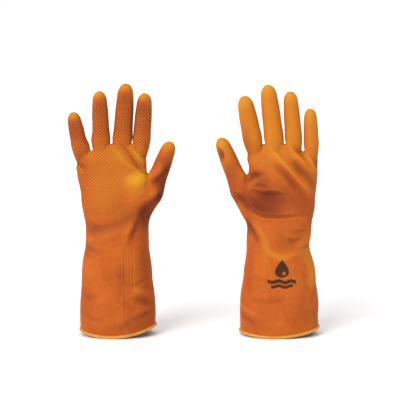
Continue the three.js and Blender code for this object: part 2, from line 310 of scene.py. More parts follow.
BACK_TONES = [
    (-1.8, 16, 166, 20, 14),
    (-2.2, 29, 200, 8, 11),
    (-1.6, 20, 190, 9, 11),
    (-3.0, 34, 223, 9, 12),
    (3.2, 42, 200, 5, 7),
    (-1.6, 57, 188, 8, 20),
    (-3.4, 51, 166, 7, 7),
    (-1.6, 42, 150, 8, 24),
    (-4.2, 39, 134, 6, 9),
    (-1.6, 29, 156, 8, 6),
    (1.4, -27, 117, 8, 8),
    (1.5, -37, 68, 6, 10),
    (-1.0, 4, 147, 24, 5),
    (0.4, -2, 100, 26, 8),
    (1.8, -34, 100, 9, 26),
    (-1.2, -48, 212, 5, 9),
    (-1.2, 18, 13, 20, 8),
    (-0.8, -12, 60, 18, 12),
    (-3.0, 70, 222, 4, 6),
    (-1.6, 39, 243, 5, 12),
    (1.4, 28, 269, 4, 10),
    (-1.0, 61, 197, 6, 14),
]
# Painted shade along the palm side of the finger stalls and in their pads: amount, and where it rises from
# the root and fades before the end
FINGER_PAINTED_SHADE = {"amount": -1.9, "root": (0, 12), "end": (9, 21)}
PAD_PAINTED_SHADE = -1.6
# Painted highlight on the stall ends: how far down from the end it reaches on the palm side and on the back
TIP_HIGHLIGHT_FADE = {"palm": 13.0, "back": 21.0}

# How far round the side the folds and the painted light and shade reach (0 is the outline, and below 0 is
# past it), and how much of them the hidden side gets
FOLD_EDGE = 0.05
TONE_EDGE = -0.4
EDGE_FADE = 0.4
HIDDEN = {"share": 0.6, "fade": (0.4, 0.85)}

# How a fold ends: its height there as a share, and how soon it rises from it
FOLD_END = 0.25
FOLD_RISE = 0.6

# The slow unevenness of the thin sheet: height, lengths along u and h, start, and what the side adds to it
WOBBLE = [(0.30, 9.0, 17.0, 0.6, 0.0), (0.25, -23.0, 11.0, 0.0, 1.3), (0.12, 4.3, -6.1, 0.0, 0.0)]
WOBBLE_FADE = (240, 190)

# Fine upright grooves between ribs on the palm side of the cuff
RIBS = {"u": (8.6, 11.8, 15.0, 18.2), "foot": (58, 70), "top": (116, 102), "height": -0.7, "width": 0.8}

# Dents in the finger pads
PAD = {"dent": -1.6, "below_end": 20.0, "half_width": 5.5, "half_length": 9.0}

# Grip relief: a raised square net on the palm side, slanted on the palm and in line with each stall
GRIP = {"pitch": 2.58, "turn": 10.6, "relief": 0.5, "below_end": 10.5, "stall_root": -4.0, "thumb_u": 38.0}
GRIP_FADES = {"foot": (-2.0, 4.0), "edge": (4.0, -5.0), "end": (4.0, -6.0), "side": (0.25, 0.7)}
NET_TURN = math.pi / (GRIP["pitch"] * math.sqrt(2))
NET_EDGE = (0.85, 0.2)
GRIP_FOOT = [(-52, 152), (-34, 146), (-13, 141), (9, 148), (20, 152), (60, 260)]
GRIP_THUMB_EDGE = [(140, 16), (163, 15), (184, 9), (194, 10), (204, 26), (214, 42), (300, 60)]

# Where each fold's bend starts and ends, in millimetres to both sides of the fold
BEND = {"wrist": 22.0, "knuckle": 7.0, "middle": 8.0, "tip": 6.0, "thumb_base": 8.5, "thumb_tip": 6.0}
LITTLE_BEND = {"knuckle": 6.0, "middle": 6.0, "tip": 4.5}
CUFF_CUT = 84.0
BEND_MARGIN = 1.5

# Regions of the skin. A stall's segments have numbers of their own, ten for each stall
RIM, CUFF, WRIST, HAND, FIRST_STALL = -1, 0, 1, 2, 10

# The printed mark, around its middle on the back of the cuff
MARK = {
    "u": -4.0,
    "h": 80.0,
    "edge": 0.5,
    "drop_foot": -5.0,
    "drop_height": 22.0,
    "drop_width": 23.0,
    "drop_powers": (0.5, 1.1),
    "shine": (2.4, 0.0, 2.0),
    "wave_height": 1.0,
    "wave_turn": 0.42,
    "waves": ((-10.0, 17.0, 2.2), (-15.6, 13.0, 1.9)),
    "back_side": (4.0, 8.0),
    "cover": (0.22, 0.72),
}

# Camera and sky, and each light's strength, angle and direction
LENS = 112.0
CAMERA_ELEVATION = 8.0
CAMERA_DISTANCE = 1.5
CAMERA_AIM_X = 0.0078
CAMERA_AIM_HEIGHT = 0.165
WORLD_STRENGTH = 0.42
HORIZON_BAND = (0.03, 0.3)
LIGHTS = {
    "key": (2.3, 40.0, (-0.52, -0.64, 0.56)),
    "overhead": (1.4, 100.0, (0.0, 0.1, 1.0)),
}
FLOOR_RADIUS = 40.0


# Colours
def linear(red, green, blue):
    """A display colour as the linear colour that a shader takes."""
    parts = [c / 255 for c in (red, green, blue)]
    return tuple(c / 12.92 if c <= 0.04045 else ((c + 0.055) / 1.055) ** 2.4 for c in parts) + (1.0,)


RUBBER = {
    "plain": linear(181, 90, 29),
    "deep": linear(171, 79, 27),
    "light": linear(194, 102, 30),
    # painted highlight on the tops of the folds and on the upper back
    "painted_highlight": linear(201, 127, 31),
    # painted highlight where the painted light is strongest
    "strong_painted_highlight": linear(216, 160, 37),
    # painted highlight on the raised lines of the grip
    "line": linear(216, 116, 36),
    # painted shade in the hollows and folds
    "hollow": linear(104, 38, 22),
    # painted shade in the pits of the grip
    "pit_shade": linear(118, 50, 22),
    # painted highlight on the stall ends
    "tip": linear(198, 140, 33),
    "ink": linear(54, 32, 24),
    "rim": linear(209, 143, 48),
    "rim_deep": linear(194, 124, 41),
}
FLOCK = {"light": linear(236, 214, 182), "shade": linear(214, 184, 144), "warm": linear(226, 176, 120)}
FLOOR = {"shade": linear(247, 247, 247), "light": linear(250, 250, 250)}

# Clouds: the noise's scale and detail, and the values between which they go from 0 to 1
CLOUDS = {
    "patches": (0.035, 3.0, 0.35, 0.68),
    "cloud": (0.16, 4.0, 0.3, 0.7),
    "speck": (1.1, 2.0, 0.45, 0.75),
    "worn_ink": (0.9, 3.0, 0.3, 0.42),
    "rim": (0.2, 4.0, 0.3, 0.7),
    "tufts": (1.6, 5.0, 0.3, 0.7),
    "clumps": (0.3, 3.0, 0.4, 0.7),
    "floor": (3.0, 2.0, 0.3, 0.7),
}

# What is laid over the rubber's colour, with how large a share
LAYERS = {
    "cloud": (0.35, RUBBER["light"]),
    "speck": (0.12, RUBBER["deep"]),
    # The layers from here on are painted light and shade: painted highlights on the upper back, the
    # brightest places and the stall ends, painted shade in the grip's pits and a painted highlight on its
    # raised lines
    "upper_back_highlight": (0.55, RUBBER["painted_highlight"]),
    "strong_painted_highlight": (0.8, RUBBER["strong_painted_highlight"]),
    "tip": (0.65, RUBBER["tip"]),
    "pit_painted_shade": (0.5, RUBBER["pit_shade"]),
    "lines": (0.4, RUBBER["line"]),
}
# Where the painted highlight on the upper back lies: its heights and how far towards the back
UPPER_BACK_HIGHLIGHT = {"h": (180.0, 245.0), "v": (-6.0, 4.0)}

# How the painted light and shade turns into colour: rates of the painted shade in the hollows and of the
# painted highlight on the ridges, where the ridges' highlight starts, and where the strongest painted
# highlight starts and is full
TONE = {"hollow": 0.24, "painted_highlight": 0.42, "painted_highlight_from": 0.5, "strong_painted_highlight": (2.6, 7.0)}
ROUGHNESS = {"plain": 0.5, "cloud": 0.12, "lines": -0.05}
RELIEF = {"grain": 0.10, "skin": 0.25, "lines": 0.9}
BUMP = 0.25 * MM


# Frame helpers

class Glove:
    """One glove's own axes, where its folds are, and the material for each slot."""

    def __init__(self, name, frame, materials):
        self.name = name
        self.materials = materials
        low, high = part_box(f"{name}_cuff_bead")
        thumb = sum(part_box(f"{name}_thumb_tip"), Vector()) / 2
        self.middle = np.array([(low.x + high.x) / 2, 0.0, 0.0])
        side = 1.0 if thumb.x > self.middle[0] else -1.0
        self.turn = np.array([side, side, 1.0])
        self.joints = {j["name"]: j for j in frame["joints"] if j["name"].startswith(name)}

    def to_row(self, local):
        """Local millimetres to the row frame in metres."""
        return np.asarray(local, float) * self.turn * MM + self.middle

    def to_local(self, row):
        """The row frame in metres to local millimetres."""
        return (np.asarray(row, float) - self.middle) * self.turn / MM

    def hinge(self, fold):
        return self.to_local(self.joints[f"{self.name}_{fold}_fold"]["pos_m"])

    def box(self, node):
        low, high = (self.to_local(c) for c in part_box(f"{self.name}_{node}"))
        return np.minimum(low, high), np.maximum(low, high)


def smoothstep(low, high, x):
    t = np.clip((x - low) / (high - low), 0, 1)
    return t * t * (3 - 2 * t)


def unit(vector):
    return vector / np.linalg.norm(vector)


class Stall:
    """The middle line of a finger or thumb stall, from its knuckle fold to its end."""

    def __init__(self, glove, name):
        self.glove = glove
        self.name = name
        self.is_thumb = name == "thumb"
        self.segments = ["base", "tip"] if self.is_thumb else ["base", "middle", "tip"]
        folds = ["base", "tip"] if self.is_thumb else ["knuckle", "middle", "tip"]
        self.folds = [glove.hinge(f"{name}_{fold}") for fold in folds]
        lengths = LITTLE_BEND if name == "little" else BEND
        self.bends = [lengths[f"thumb_{fold}" if self.is_thumb else fold] for fold in folds]
        base_low, base_high = glove.box(f"{name}_base")
        tip_high = glove.box(f"{name}_tip")[1]
        fullness, shift = STALL_FIT[glove.name].get(name, THUMB_FIT)
        self.radius = fullness * ((base_high - base_low)[1] / 2 - STALL_INSET)
        self.along = unit(self.folds[-1] - self.folds[0])
        palmar = unit(np.array([0.0, -1.0, 0.0]) - self.along * -self.along[1])
        self.side = unit(np.cross(self.along, [0.0, 1.0, 0.0]))
        self.base = self.folds[0] - palmar * self.radius * FOLD_OFFSET + np.array([shift, 0.0, 0.0])
        reach = tip_high[2] - self.base[2]
        self.length = reach / self.along[2]
        self.marks = [float((fold - self.base) @ self.along) for fold in self.folds]

    def measure(self, co):
        """How far points lie along the stall from its base, and how far across it."""
        off = co - self.base
        return off @ self.along, off @ self.side

    def gap(self, co):
        """How far points lie across the stall, measured from its middle line."""
        return np.abs(self.measure(co)[1])

    def beside(self, co):
        return self.gap(co) < self.radius * STALL_REACH


# Shaping the skin

def smooth_curve(stations, at):
    """A smooth curve through stations (position, value...), as rows of values at the given positions."""
    stations = np.array(stations, float)
    x, y = stations[:, 0], stations[:, 1:]
    slope = np.gradient(y, x, axis=0)
    i = np.clip(np.searchsorted(x, at) - 1, 0, len(x) - 2)
    span = (x[i + 1] - x[i])[:, None]
    t = ((at - x[i])[:, None] / span).clip(0, 1)
    h00, h10 = 2 * t**3 - 3 * t**2 + 1, t**3 - 2 * t**2 + t
    h01, h11 = -2 * t**3 + 3 * t**2, t**3 - t**2
    return h00 * y[i] + h10 * span * slope[i] + h01 * y[i + 1] + h11 * span * slope[i + 1]


def body_rings(glove):
    sections = BODIES[glove.name]
    heights = np.arange(sections[0][0], sections[-1][0], RING_STEP)
    angle = np.linspace(0, 2 * math.pi, RING_POINTS, endpoint=False)
    rings = []
    for height, (low, high, palm, back, square) in zip(heights, smooth_curve(sections, heights)):
        power = 2 / square
        across = np.sign(np.cos(angle)) * np.abs(np.cos(angle)) ** power
        deep = np.sign(np.sin(angle)) * np.abs(np.sin(angle)) ** power
        u = (low + high) / 2 + (high - low) / 2 * across
        v = deep * np.where(deep > 0, back, palm)
        rings.append(np.stack([u, v, np.full_like(u, height)], 1))
    return rings


def web_width(stall, stalls, way):
    """How much a finger's root spreads towards its neighbour on one side."""
    widths = []
    for other in stalls:
        apart = (other.base - stall.base) @ stall.side * way
        if apart > 0 and not (stall.is_thumb or other.is_thumb):
            room = apart - dict(FINGER_OUTLINE)[0.0] * (stall.radius + other.radius)
            widths.append(room / 2 - WEB["half_slit"])
    return max(min(widths, default=0.0), 0.0)


def stall_rings(stall, stalls):
    outline = THUMB_OUTLINE if stall.is_thumb else FINGER_OUTLINE
    root = THUMB_ROOT if stall.is_thumb else FINGER_ROOT
    end_radius = outline[-1][1] * stall.radius
    body = stall.length - (END_LENGTH + THINNING) * end_radius
    stations = [(share * (root if share < 0 else body), factor * stall.radius) for share, factor in outline]
    along = np.concatenate([np.arange(-root, body, STALL_RING_STEP), [body]])
    radii = smooth_curve(stations, along)[:, 0]
    dome = np.linspace(0, math.pi / 2, DOME_RINGS + 2)[1:-1]
    along = np.concatenate([along, body + END_LENGTH * end_radius * np.sin(dome)])
    radii = np.concatenate([radii, end_radius * np.cos(dome)])
    out = np.cross(stall.side, stall.along)
    angle = np.linspace(0, 2 * math.pi, RING_POINTS // 2, endpoint=False)
    across = np.cos(angle)
    circle = np.outer(across, stall.side) + np.outer(np.sin(angle), out)
    radii = radii * (1 - THINNING * smoothstep(*THINNING_FADE, along))
    ahead, behind = (web_width(stall, stalls, way) for way in (1, -1))
    web = np.outer(across * np.where(across > 0, ahead, behind), stall.side)
    spread = smoothstep(WEB["top"], WEB["foot"], along)
    return [stall.base + stall.along * s + circle * r + web * w for s, r, w in zip(along, radii, spread)]


def loft(bm, rings):
    """Adds a closed skin through rings of points, with a fan of triangles at both ends."""
    rows = [[bm.verts.new(point) for point in ring] for ring in rings]
    count = len(rows[0])
    for lower, upper in zip(rows, rows[1:]):
        for i in range(count):
            j = (i + 1) % count
            bm.faces.new((lower[i], lower[j], upper[j], upper[i]))
    for row, ring, flip in ((rows[0], rings[0], True), (rows[-1], rings[-1], False)):
        middle = bm.verts.new(ring.mean(0))
        for i in range(count):
            j = (i + 1) % count
            bm.faces.new((row[j], row[i], middle) if flip else (row[i], row[j], middle))


def new_object(name, mesh):
    obj = bpy.data.objects.new(name, mesh)
    bpy.context.scene.collection.objects.link(obj)
    return obj


def evaluated_copy(obj, name):
    """A new mesh with the object's modifiers applied, and the object removed."""
    graph = bpy.context.evaluated_depsgraph_get()
    mesh = bpy.data.meshes.new_from_object(obj.evaluated_get(graph))
    mesh.name = name
    bpy.data.objects.remove(obj)
    return mesh


def read(items, field, width, kind=np.float32):
    """One field of a mesh's items, as a row of values for each."""
    values = np.empty(len(items) * width, kind)
    items.foreach_get(field, values)
    return values.reshape(-1, width)


def coordinates(mesh):
    return read(mesh.vertices, "co", 3).astype(float)


def set_coordinates(mesh, co):
    mesh.vertices.foreach_set("co", co.astype(np.float32).ravel())
    mesh.update()


def normals(mesh):
    return read(mesh.vertex_normals, "vector", 3).astype(float)


def relax(mesh, rounds):
    """Smooths the mesh without shrinking it: each round moves in and then back out."""
    a, b = read(mesh.edges, "vertices", 2, np.int32).T
    co = coordinates(mesh)
    count = np.bincount(np.concatenate([a, b]), minlength=len(co))[:, None]
    for step in SMOOTH_STEPS * rounds:
        total = np.zeros_like(co)
        for axis in range(3):
            total[:, axis] = np.bincount(a, co[b, axis], len(co)) + np.bincount(b, co[a, axis], len(co))
        co += step * (total / count - co)
    set_coordinates(mesh, co)


def nearest_stall(stalls, co):
    return np.argmin([stall.gap(co) for stall in stalls], 0)


def swell(mesh, stalls):
    """Brings the thin stalls back to their own width."""
    co = coordinates(mesh)
    nearest = nearest_stall(stalls, co)
    grow = np.zeros(len(co))
    for i, stall in enumerate(stalls):
        share = smoothstep(*THINNING_FADE, stall.measure(co)[0]) * stall.beside(co)
        grow += (nearest == i) * share * THINNING * stall.radius
    set_coordinates(mesh, co + normals(mesh) * grow[:, None])


def whole_skin(glove, stalls):
    """The glove's closed outer surface in local millimetres, as a coarse mesh and a fine one."""
    bm = bmesh.new()
    loft(bm, body_rings(glove))
    for stall in stalls:
        loft(bm, stall_rings(stall, stalls))
    bmesh.ops.recalc_face_normals(bm, faces=bm.faces)
    mesh = bpy.data.meshes.new("form")
    bm.to_mesh(mesh)
    bm.free()
    obj = new_object("form", mesh)
    remesh = obj.modifiers.new("union", "REMESH")
    remesh.mode = "VOXEL"
    remesh.voxel_size = VOXEL
    coarse = evaluated_copy(obj, "coarse skin")
    relax(coarse, SMOOTH_ROUNDS)
    swell(coarse, stalls)
    obj = new_object("skin", coarse.copy())
    finer = obj.modifiers.new("finer", "SUBSURF")
    finer.levels = finer.render_levels = 1
    return coarse, evaluated_copy(obj, "fine skin")


# Folds and relief

def fold_profile(points, half_width, u, h):
    """How strongly each place lies on a fold, from 0 to 1: a bowed ridge that dies away at its ends."""
    points = np.array(points, float)
    place = np.linspace(0, len(points) - 1, 8 * len(points))
    path = smooth_curve(np.column_stack([np.arange(len(points)), points]), place)
    out = np.zeros_like(u)
    low, high = path.min(0) - 3 * half_width, path.max(0) + 3 * half_width
    near = (u > low[0]) & (u < high[0]) & (h > low[1]) & (h < high[1])
    gap = np.hypot(u[near, None] - path[:, 0], h[near, None] - path[:, 1])
    nearest = gap.argmin(1)
    share = nearest / (len(path) - 1)
    fade = FOLD_END + (1 - FOLD_END) * np.sin(math.pi * share) ** FOLD_RISE
    out[near] = np.exp(-((gap.min(1) / half_width) ** 2)) * fade
    return out


def bulges(items, u, h):
    """The sum of soft round bulges."""
    total = np.zeros_like(u)
    for amount, at_u, at_h, half_u, half_h in items:
        total += amount * np.exp(-(((u - at_u) / half_u) ** 2) - ((h - at_h) / half_h) ** 2)
    return total


def side_displacement(folds, hollows, u, h):
    total = bulges(hollows, u, h)
    for height, half_width, points in folds:
        total += height * fold_profile(points, half_width, u, h)
    return total


def rib_displacement(u, h):
    span = smoothstep(*RIBS["foot"], h) * smoothstep(*RIBS["top"], h)
    return sum(RIBS["height"] * np.exp(-(((u - x) / RIBS["width"]) ** 2)) for x in RIBS["u"]) * span


def wobble(co):
    u, v, h = co.T
    waves = (
        height * np.sin(u / along_u + h / along_h + start + np.sign(v) * turn)
        for height, along_u, along_h, start, turn in WOBBLE
    )
    return sum(waves) * smoothstep(*WOBBLE_FADE, h)


def side_shares(glove, out, edge):
    """How far each point belongs to the palm side and to the back, less on the side turned away."""
    palm_seen = glove.name == "glove_1"
    facing = -out[:, 1] if palm_seen else out[:, 1]
    seen = smoothstep(edge, edge + EDGE_FADE, facing)
    hidden = HIDDEN["share"] * smoothstep(*HIDDEN["fade"], -facing)
    return (seen, hidden) if palm_seen else (hidden, seen)


def pad_share(stall, along, across):
    """How far each place lies on a finger's pad, from 0 to 1."""
    off_along = (stall.length - PAD["below_end"] - along) / PAD["half_length"]
    return np.exp(-(off_along**2) - (across / PAD["half_width"]) ** 2)


def fold_displacement(glove, stalls, co, out):
    """How far each point of the skin moves along its normal, in millimetres."""
    u, h = co[:, 0], co[:, 2]
    palm, back = side_shares(glove, out, FOLD_EDGE)
    total = wobble(co)
    total += palm * (side_displacement(PALM_FOLDS, PALM_HOLLOWS, u, h) + rib_displacement(u, h))
    total += back * side_displacement(BACK_FOLDS, BACK_HOLLOWS, u, h)
    for stall in stalls:
        if not stall.is_thumb:
            total += palm * pad_share(stall, *stall.measure(co)) * PAD["dent"]
    return total


def broad_tones(glove, stalls, co, out):
    """The painted highlight (above 0) and painted shade (below 0) that each place gets beyond what its folds
    give, in the same measure.
    """
    u, h = co[:, 0], co[:, 2]
    palm, back = side_shares(glove, out, TONE_EDGE)
    total = palm * bulges(PALM_TONES, u, h) + back * bulges(BACK_TONES, u, h)
    for stall in stalls:
        along, across = stall.measure(co)
        reach = smoothstep(*FINGER_PAINTED_SHADE["root"], along)
        reach *= smoothstep(*FINGER_PAINTED_SHADE["end"], stall.length - along)
        total += palm * FINGER_PAINTED_SHADE["amount"] * reach * stall.beside(co)
        total += palm * pad_share(stall, along, across) * PAD_PAINTED_SHADE
    return total


def tip_highlight_shares(stalls, co, out):
    """How near each place is to the end of its stall, from 0 to 1, for the painted highlight on the stall
    ends: it reaches further down the back.
    """
    fade = TIP_HIGHLIGHT_FADE["palm"] + (TIP_HIGHLIGHT_FADE["back"] - TIP_HIGHLIGHT_FADE["palm"]) * smoothstep(-0.5, 0.5, out[:, 1])
    shares = np.zeros(len(co))
    for stall in stalls:
        below_end = stall.length - stall.measure(co)[0]
        shares = np.maximum(shares, (1 - smoothstep(0, 1, below_end / fade)) * stall.beside(co))
    return shares


def grip_mask(stalls, co, out):
    """Where the palm side carries the raised grip, from 0 to 1."""
    u, h = co[:, 0], co[:, 2]
    foot = np.interp(u, *np.array(GRIP_FOOT, float).T)
    edge = np.interp(h, *np.array(GRIP_THUMB_EDGE, float).T)
    mask = smoothstep(*GRIP_FADES["foot"], h - foot) * smoothstep(*GRIP_FADES["edge"], u - edge)
    mask *= smoothstep(*GRIP_FADES["side"], -out[:, 1])
    nearest = nearest_stall(stalls, co)
    for i, stall in enumerate(stalls):
        along = stall.measure(co)[0]
        end = stall.length - GRIP["below_end"]
        on_stall = (nearest == i) & (along > GRIP["stall_root"])
        mask[on_stall] *= smoothstep(*GRIP_FADES["end"], along[on_stall] - end)
        if stall.is_thumb:
            mask[on_stall & (u > GRIP["thumb_u"])] = 0
    return mask


def palm_grid(co):
    """Places on the palm in the net's own slanted axes."""
    turn = math.radians(GRIP["turn"])
    u, h = co[:, 0], co[:, 2]
    return np.stack([u * math.cos(turn) + h * math.sin(turn), h * math.cos(turn) - u * math.sin(turn)], 1)


def stall_grid(stalls, co):
    """Places on the nearest stall: how far across it and along it."""
    nearest = nearest_stall(stalls, co)
    grid = np.empty((len(co), 2))
    for i, stall in enumerate(stalls):
        along, across = stall.measure(co[nearest == i])
        grid[nearest == i] = np.stack([across, along], 1)
    return grid


def net(grid):
    """The grip's pattern, from 0 in the pits to 1 along the raised lines."""
    a = np.abs(np.sin((grid[:, 0] + grid[:, 1]) * NET_TURN))
    b = np.abs(np.sin((grid[:, 0] - grid[:, 1]) * NET_TURN))
    return smoothstep(*NET_EDGE, np.minimum(a, b))


def lift_rim(glove, co):
    """Raises both sides of the rim, which fades out up the cuff."""
    lowest, flatness = RIM_DIP[glove.name]
    co[:, 2] += (co[:, 0] - lowest) ** 2 / flatness * smoothstep(RIM_FADE, 0, co[:, 2])


class Skin:
    """A mesh's points, normals and faces, with what the materials read, all in local millimetres."""

    def __init__(self, glove, stalls, mesh, with_grip):
        rest = coordinates(mesh)
        out = normals(mesh)
        self.rest = rest
        self.faces = read(mesh.loops, "vertex_index", 1, np.int32).reshape(-1, 4)
        self.region = face_regions(stalls, rest[self.faces].mean(1))
        self.move = fold_displacement(glove, stalls, rest, out)
        # The painted light and shade in the colour: the folds' own height, plus the painted patches
        self.tone = self.move + broad_tones(glove, stalls, rest, out)
        self.tip = tip_highlight_shares(stalls, rest, out)
        self.grip = grip_mask(stalls, rest, out) if with_grip else np.zeros(len(rest))
        co = rest + out * self.move[:, None]
        lift_rim(glove, co)
        set_coordinates(mesh, co)
        self.out = normals(mesh)
        self.inner = co
        self.palm_grid = palm_grid(rest)
        self.stall_grid = stall_grid(stalls, rest)
        grid = self.palm_grid.copy()
        on_stall = np.unique(self.faces[self.region >= FIRST_STALL])
        grid[on_stall] = self.stall_grid[on_stall]
        self.outer = co + self.out * (GRIP["relief"] * self.grip * net(grid))[:, None]
        set_coordinates(mesh, self.outer)
        self.shade = normals(mesh)
        bpy.data.meshes.remove(mesh)


# Cutting the skin into pieces

def stall_cuts(stall):
    """Distances along a stall at which it is cut: before its first bend and between its bends."""
    bends = stall.bends
    cuts = [stall.marks[0] - bends[0] - BEND_MARGIN]
    for i in range(len(bends) - 1):
        cuts.append((stall.marks[i] + bends[i] + stall.marks[i + 1] - bends[i + 1]) / 2)
    return cuts


def stall_region(number, segment):
    return FIRST_STALL * (number + 1) + segment


def face_regions(stalls, middles):
    """The region that each face belongs to."""
    h = middles[:, 2]
    wrist_top = stalls[0].glove.hinge("wrist")[2] + BEND["wrist"] + BEND_MARGIN
    region = np.where(h < CUFF_CUT, CUFF, np.where(h < wrist_top, WRIST, HAND))
    nearest = nearest_stall(stalls, middles)
    for i, stall in enumerate(stalls):
        along = stall.measure(middles)[0]
        for segment, cut in enumerate(stall_cuts(stall)):
            region[(nearest == i) & stall.beside(middles) & (along > cut)] = stall_region(i, segment)
    region[h < RIM_CUT] = RIM
    return region


def layered_mesh(name, skin, chosen, inner_wall, outer_wall):
    """The chosen faces as a closed sheet between two depths under the skin, with its own edges all round."""
    faces = skin.faces[chosen]
    used, local = np.unique(faces, return_inverse=True)
    faces = local.reshape(-1, 4)
    count = len(used)
    top = skin.outer if outer_wall == 0 else skin.inner - skin.out * outer_wall
    bottom = skin.inner - skin.out * inner_wall
    points = np.concatenate([top[used], bottom[used]])
    edges = np.stack([faces, np.roll(faces, -1, 1)], 2).reshape(-1, 2)
    keys = np.sort(edges, 1)
    keys = keys[:, 0].astype(np.int64) * count + keys[:, 1]
    _, first, seen = np.unique(keys, return_index=True, return_counts=True)
    border = edges[first[seen == 1]]
    rim = np.stack([border[:, 1], border[:, 0], border[:, 0] + count, border[:, 1] + count], 1)
    inside = faces[:, ::-1] + count
    mesh = mesh_from(name, points, np.concatenate([faces, inside, rim]))
    shade = np.concatenate([skin.shade[used], -skin.out[used]])
    mesh.normals_split_custom_set_from_vertices(shade.tolist())
    for field, values in (("rest", skin.rest), ("tip", skin.tip), ("tone", skin.tone)):
        store(mesh, field, np.concatenate([values[used]] * 2))
    store(mesh, "grip", np.concatenate([skin.grip[used], np.zeros(count)]))
    grid = skin.stall_grid if skin.region[chosen].min() >= FIRST_STALL else skin.palm_grid
    store(mesh, "grid", np.tile(np.column_stack([grid[used], np.zeros(count)]), (2, 1)))
    return mesh


def mesh_from(name, points, faces):
    mesh = bpy.data.meshes.new(name)
    mesh.vertices.add(len(points))
    mesh.vertices.foreach_set("co", points.astype(np.float32).ravel())
    mesh.loops.add(faces.size)
    mesh.loops.foreach_set("vertex_index", faces.astype(np.int32).ravel())
    mesh.polygons.add(len(faces))
    mesh.polygons.foreach_set("loop_start", np.arange(0, faces.size, faces.shape[1], dtype=np.int32))
    mesh.update(calc_edges=True)
    mesh.polygons.foreach_set("use_smooth", np.ones(len(faces), bool))
    return mesh


def store(mesh, name, values):
    kind, field = ("FLOAT_VECTOR", "vector") if values.ndim == 2 else ("FLOAT", "value")
    mesh.attributes.new(name, kind, "POINT").data.foreach_set(field, values.astype(np.float32).ravel())


def place(glove, mesh, name, slot_name, nodes):
    """Turns a mesh in local millimetres into a piece that stands for the given CAD nodes."""
    mesh.transform(Matrix.LocRotScale(Vector(glove.middle), None, Vector(glove.turn * MM)))
    obj = new_object(f"{glove.name}_{name}", mesh)
    mesh.materials.append(glove.materials[slot_name])
    if nodes:
        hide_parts(*(f"{glove.name}_{node}" for node in nodes))
    return obj


def bend(glove, obj, middle, along, half):
    """Bakes the piece's transform into its mesh; the stretch to both sides of the fold is worked out but not
    used.
    """
    start, end = (glove.to_row(middle + along * reach) for reach in (-half, half))
    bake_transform(obj)


def make_layer(glove, skin, kind, walls, slot_name, node_ending):
    """One layer of the cuff, the hand and the wrist between them."""
    high_enough = skin.rest[skin.faces].mean(1)[:, 2] > (LINING_START if kind == "flock" else 0)
    for body, region in (("cuff", CUFF), ("hand", HAND), ("wrist", WRIST)):
        name = f"{body}_{kind}"
        mesh = layered_mesh(name, skin, (skin.region == region) & high_enough, *walls)
        nodes = [] if region == WRIST else [f"{body}{node_ending}"]
        obj = place(glove, mesh, name, slot_name, nodes)
        if region == WRIST:
            up = np.array([0.0, 0.0, 1.0])
            bend(glove, obj, glove.hinge("wrist"), up, BEND["wrist"])
        else:
            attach(obj, f"{glove.name}_{body}")


def make_stall(glove, skin, number, stall):
    for i, segment in enumerate(stall.segments):
        name = f"{stall.name}_{segment}_skin"
        mesh = layered_mesh(name, skin, skin.region == stall_region(number, i), RUBBER_WALL, 0)
        obj = place(glove, mesh, name, "rubber", [f"{stall.name}_{segment}"])
        middle = stall.base + stall.along * stall.marks[i]
        bend(glove, obj, middle, stall.along, stall.bends[i])


def rim_path(skin, turns):
    """The rim's middle line seen from above, at even turns about the glove's axis."""
    corners = np.unique(skin.faces[skin.region == RIM])
    edge = skin.outer[corners[skin.rest[corners, 2] > 0]]
    angle = np.arctan2(edge[:, 1], edge[:, 0])
    order = np.argsort(angle)
    angle, edge = angle[order], edge[order]
    path = np.stack([np.interp(turns, angle, edge[:, axis], period=2 * math.pi) for axis in (0, 1)], 1)
    for _ in range(BEAD_SMOOTHING):
        path = path * 0.5 + (np.roll(path, 1, 0) + np.roll(path, -1, 0)) * 0.25
    return path


def bead_rings(glove, path, turns):
    ahead = np.roll(path, -1, 0) - np.roll(path, 1, 0)
    side = np.stack([ahead[:, 1], -ahead[:, 0]], 1) / np.linalg.norm(ahead, axis=1)[:, None]
    lowest, flatness = RIM_DIP[glove.name]
    height = BEAD_RADIUS + (path[:, 0] - lowest) ** 2 / flatness
    uneven = 1 + sum(share * np.sin(waves * turns + start) for share, waves, start in BEAD_UNEVENNESS)
    profile = np.linspace(0, 2 * math.pi, BEAD_SIDES, endpoint=False)
    off_crease = (profile - BEAD_CREASE["angle"]) / BEAD_CREASE["width"]
    crease = 1 - BEAD_CREASE["depth"] * np.exp(-(off_crease**2))
    rings = []
    for (x, y), (a, b), z, full in zip(path, side, height, uneven):
        radius = BEAD_RADIUS * crease * full
        reach = radius * np.cos(profile)
        rings.append(np.stack([x + a * reach, y + b * reach, z + radius * np.sin(profile)], 1))
    return np.array(rings)


def make_bead(glove, skin):
    """The rolled rim: a thick round roll that the cuff runs into, with a crease where they meet."""
    turns = np.linspace(-math.pi, math.pi, BEAD_STEPS, endpoint=False)
    points = bead_rings(glove, rim_path(skin, turns), turns).reshape(-1, 3)
    grid = np.arange(BEAD_STEPS * BEAD_SIDES).reshape(BEAD_STEPS, BEAD_SIDES)
    across, next_ring = np.roll(grid, -1, 1), np.roll(grid, -1, 0)
    faces = np.stack([grid, next_ring, np.roll(next_ring, -1, 1), across], 2).reshape(-1, 4)
    mesh = mesh_from("bead", points, faces)
    store(mesh, "rest", points)
    obj = place(glove, mesh, "rolled_rim", "rolled_rim", ["cuff_bead"])
    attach(obj, f"{glove.name}_cuff")


def make_glove(glove):
    stalls = [Stall(glove, name) for name in FINGERS + ("thumb",)]
    coarse, fine = whole_skin(glove, stalls)
    skin = Skin(glove, stalls, fine, True)
    make_layer(glove, skin, "skin", (RUBBER_WALL, 0), "rubber", "")
    for number, stall in enumerate(stalls):
        make_stall(glove, skin, number, stall)
    make_bead(glove, skin)
    lining = Skin(glove, stalls, coarse, False)
    outside = RUBBER_WALL + LINING_GAP
    make_layer(glove, lining, "flock", (outside + LINING_WALL, outside), "flock_lining", "_lining")


# Materials

